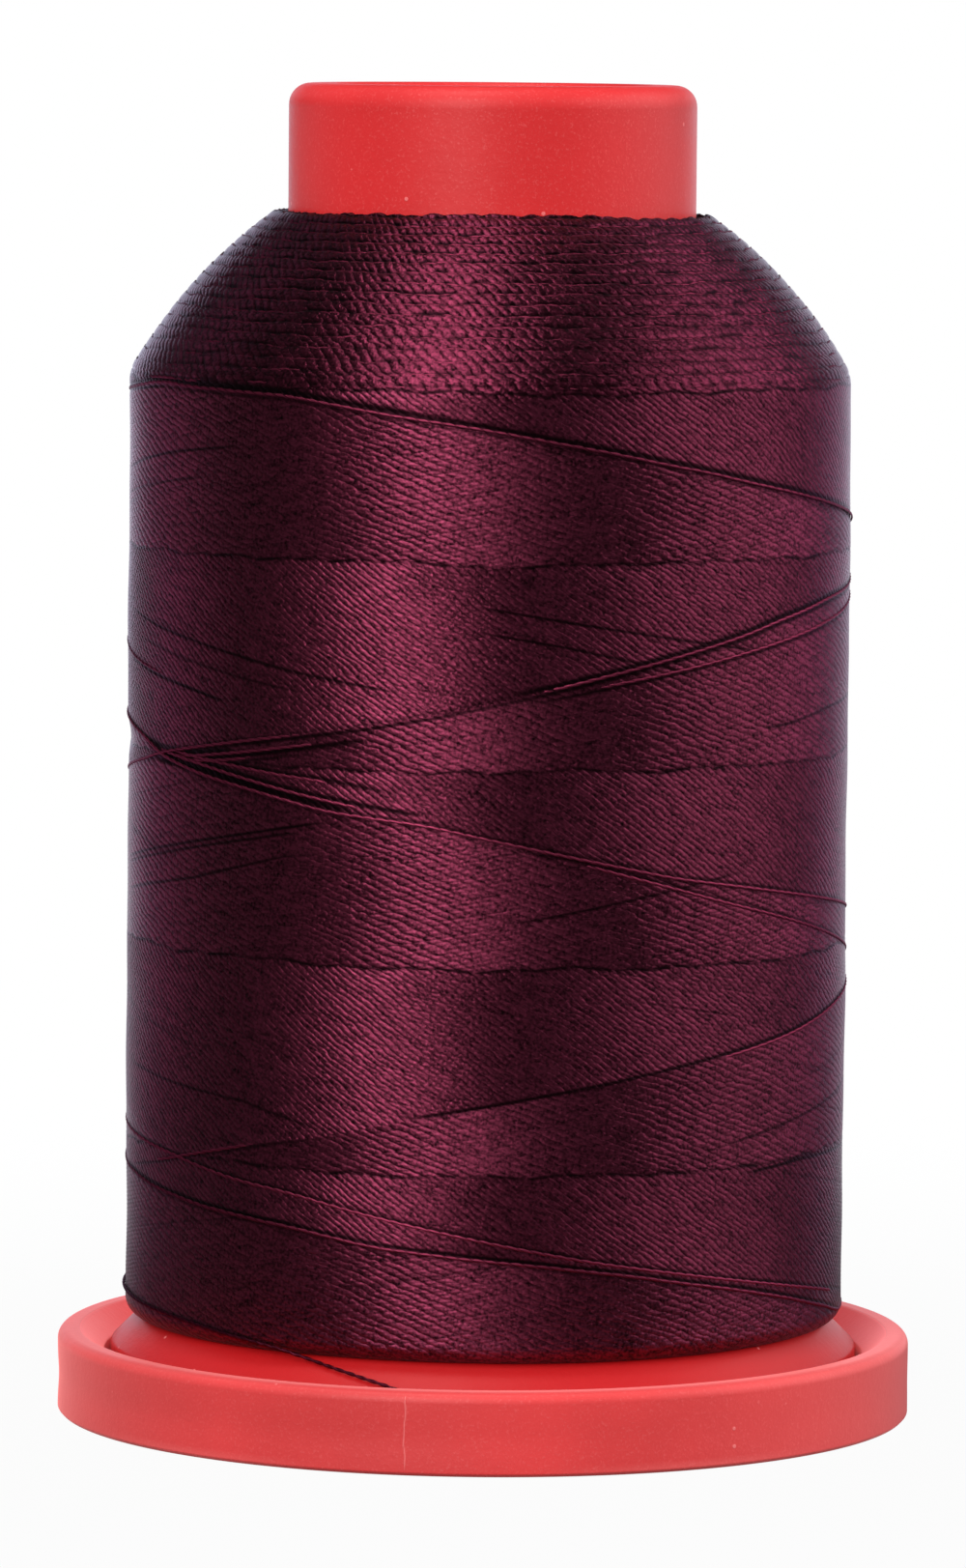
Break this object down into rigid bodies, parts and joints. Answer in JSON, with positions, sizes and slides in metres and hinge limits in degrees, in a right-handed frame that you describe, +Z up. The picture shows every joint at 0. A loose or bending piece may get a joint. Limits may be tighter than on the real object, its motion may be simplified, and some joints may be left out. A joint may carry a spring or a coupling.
{
  "type": "thread spool",
  "caption": "Wound spool of fine sewing thread on a moulded core with a bore for a spool pin, and a foot that snaps on and pulls off a little to lock the thread end.",
  "frame": {"origin": "centre of the face that the foot stands on", "axes": "+Z up along the spool's axis, from the foot to the neck; -Y towards the side where the thread tail enters the foot"},
  "size_m": [0.044, 0.044, 0.0684],
  "materials": {
    "foot_plastic": "satin moulded polypropylene",
    "core_plastic": "satin moulded polypropylene",
    "wound_thread": "lustrous twisted filament thread, closely wound",
    "loose_thread": "lustrous twisted filament thread"
  },
  "bodies": {
    "foot": {"snap_foot": "foot_plastic"},
    "spool": {"spool_core": "core_plastic", "thread_package": "wound_thread", "outer_turns": "loose_thread", "thread_tail": "loose_thread"}
  },
  "joints": [
    {"name": "foot_snap", "type": "slide", "parent": "foot", "child": "spool", "axis": [0, 0, 1], "range_m": [0, 0.003]}
  ]
}
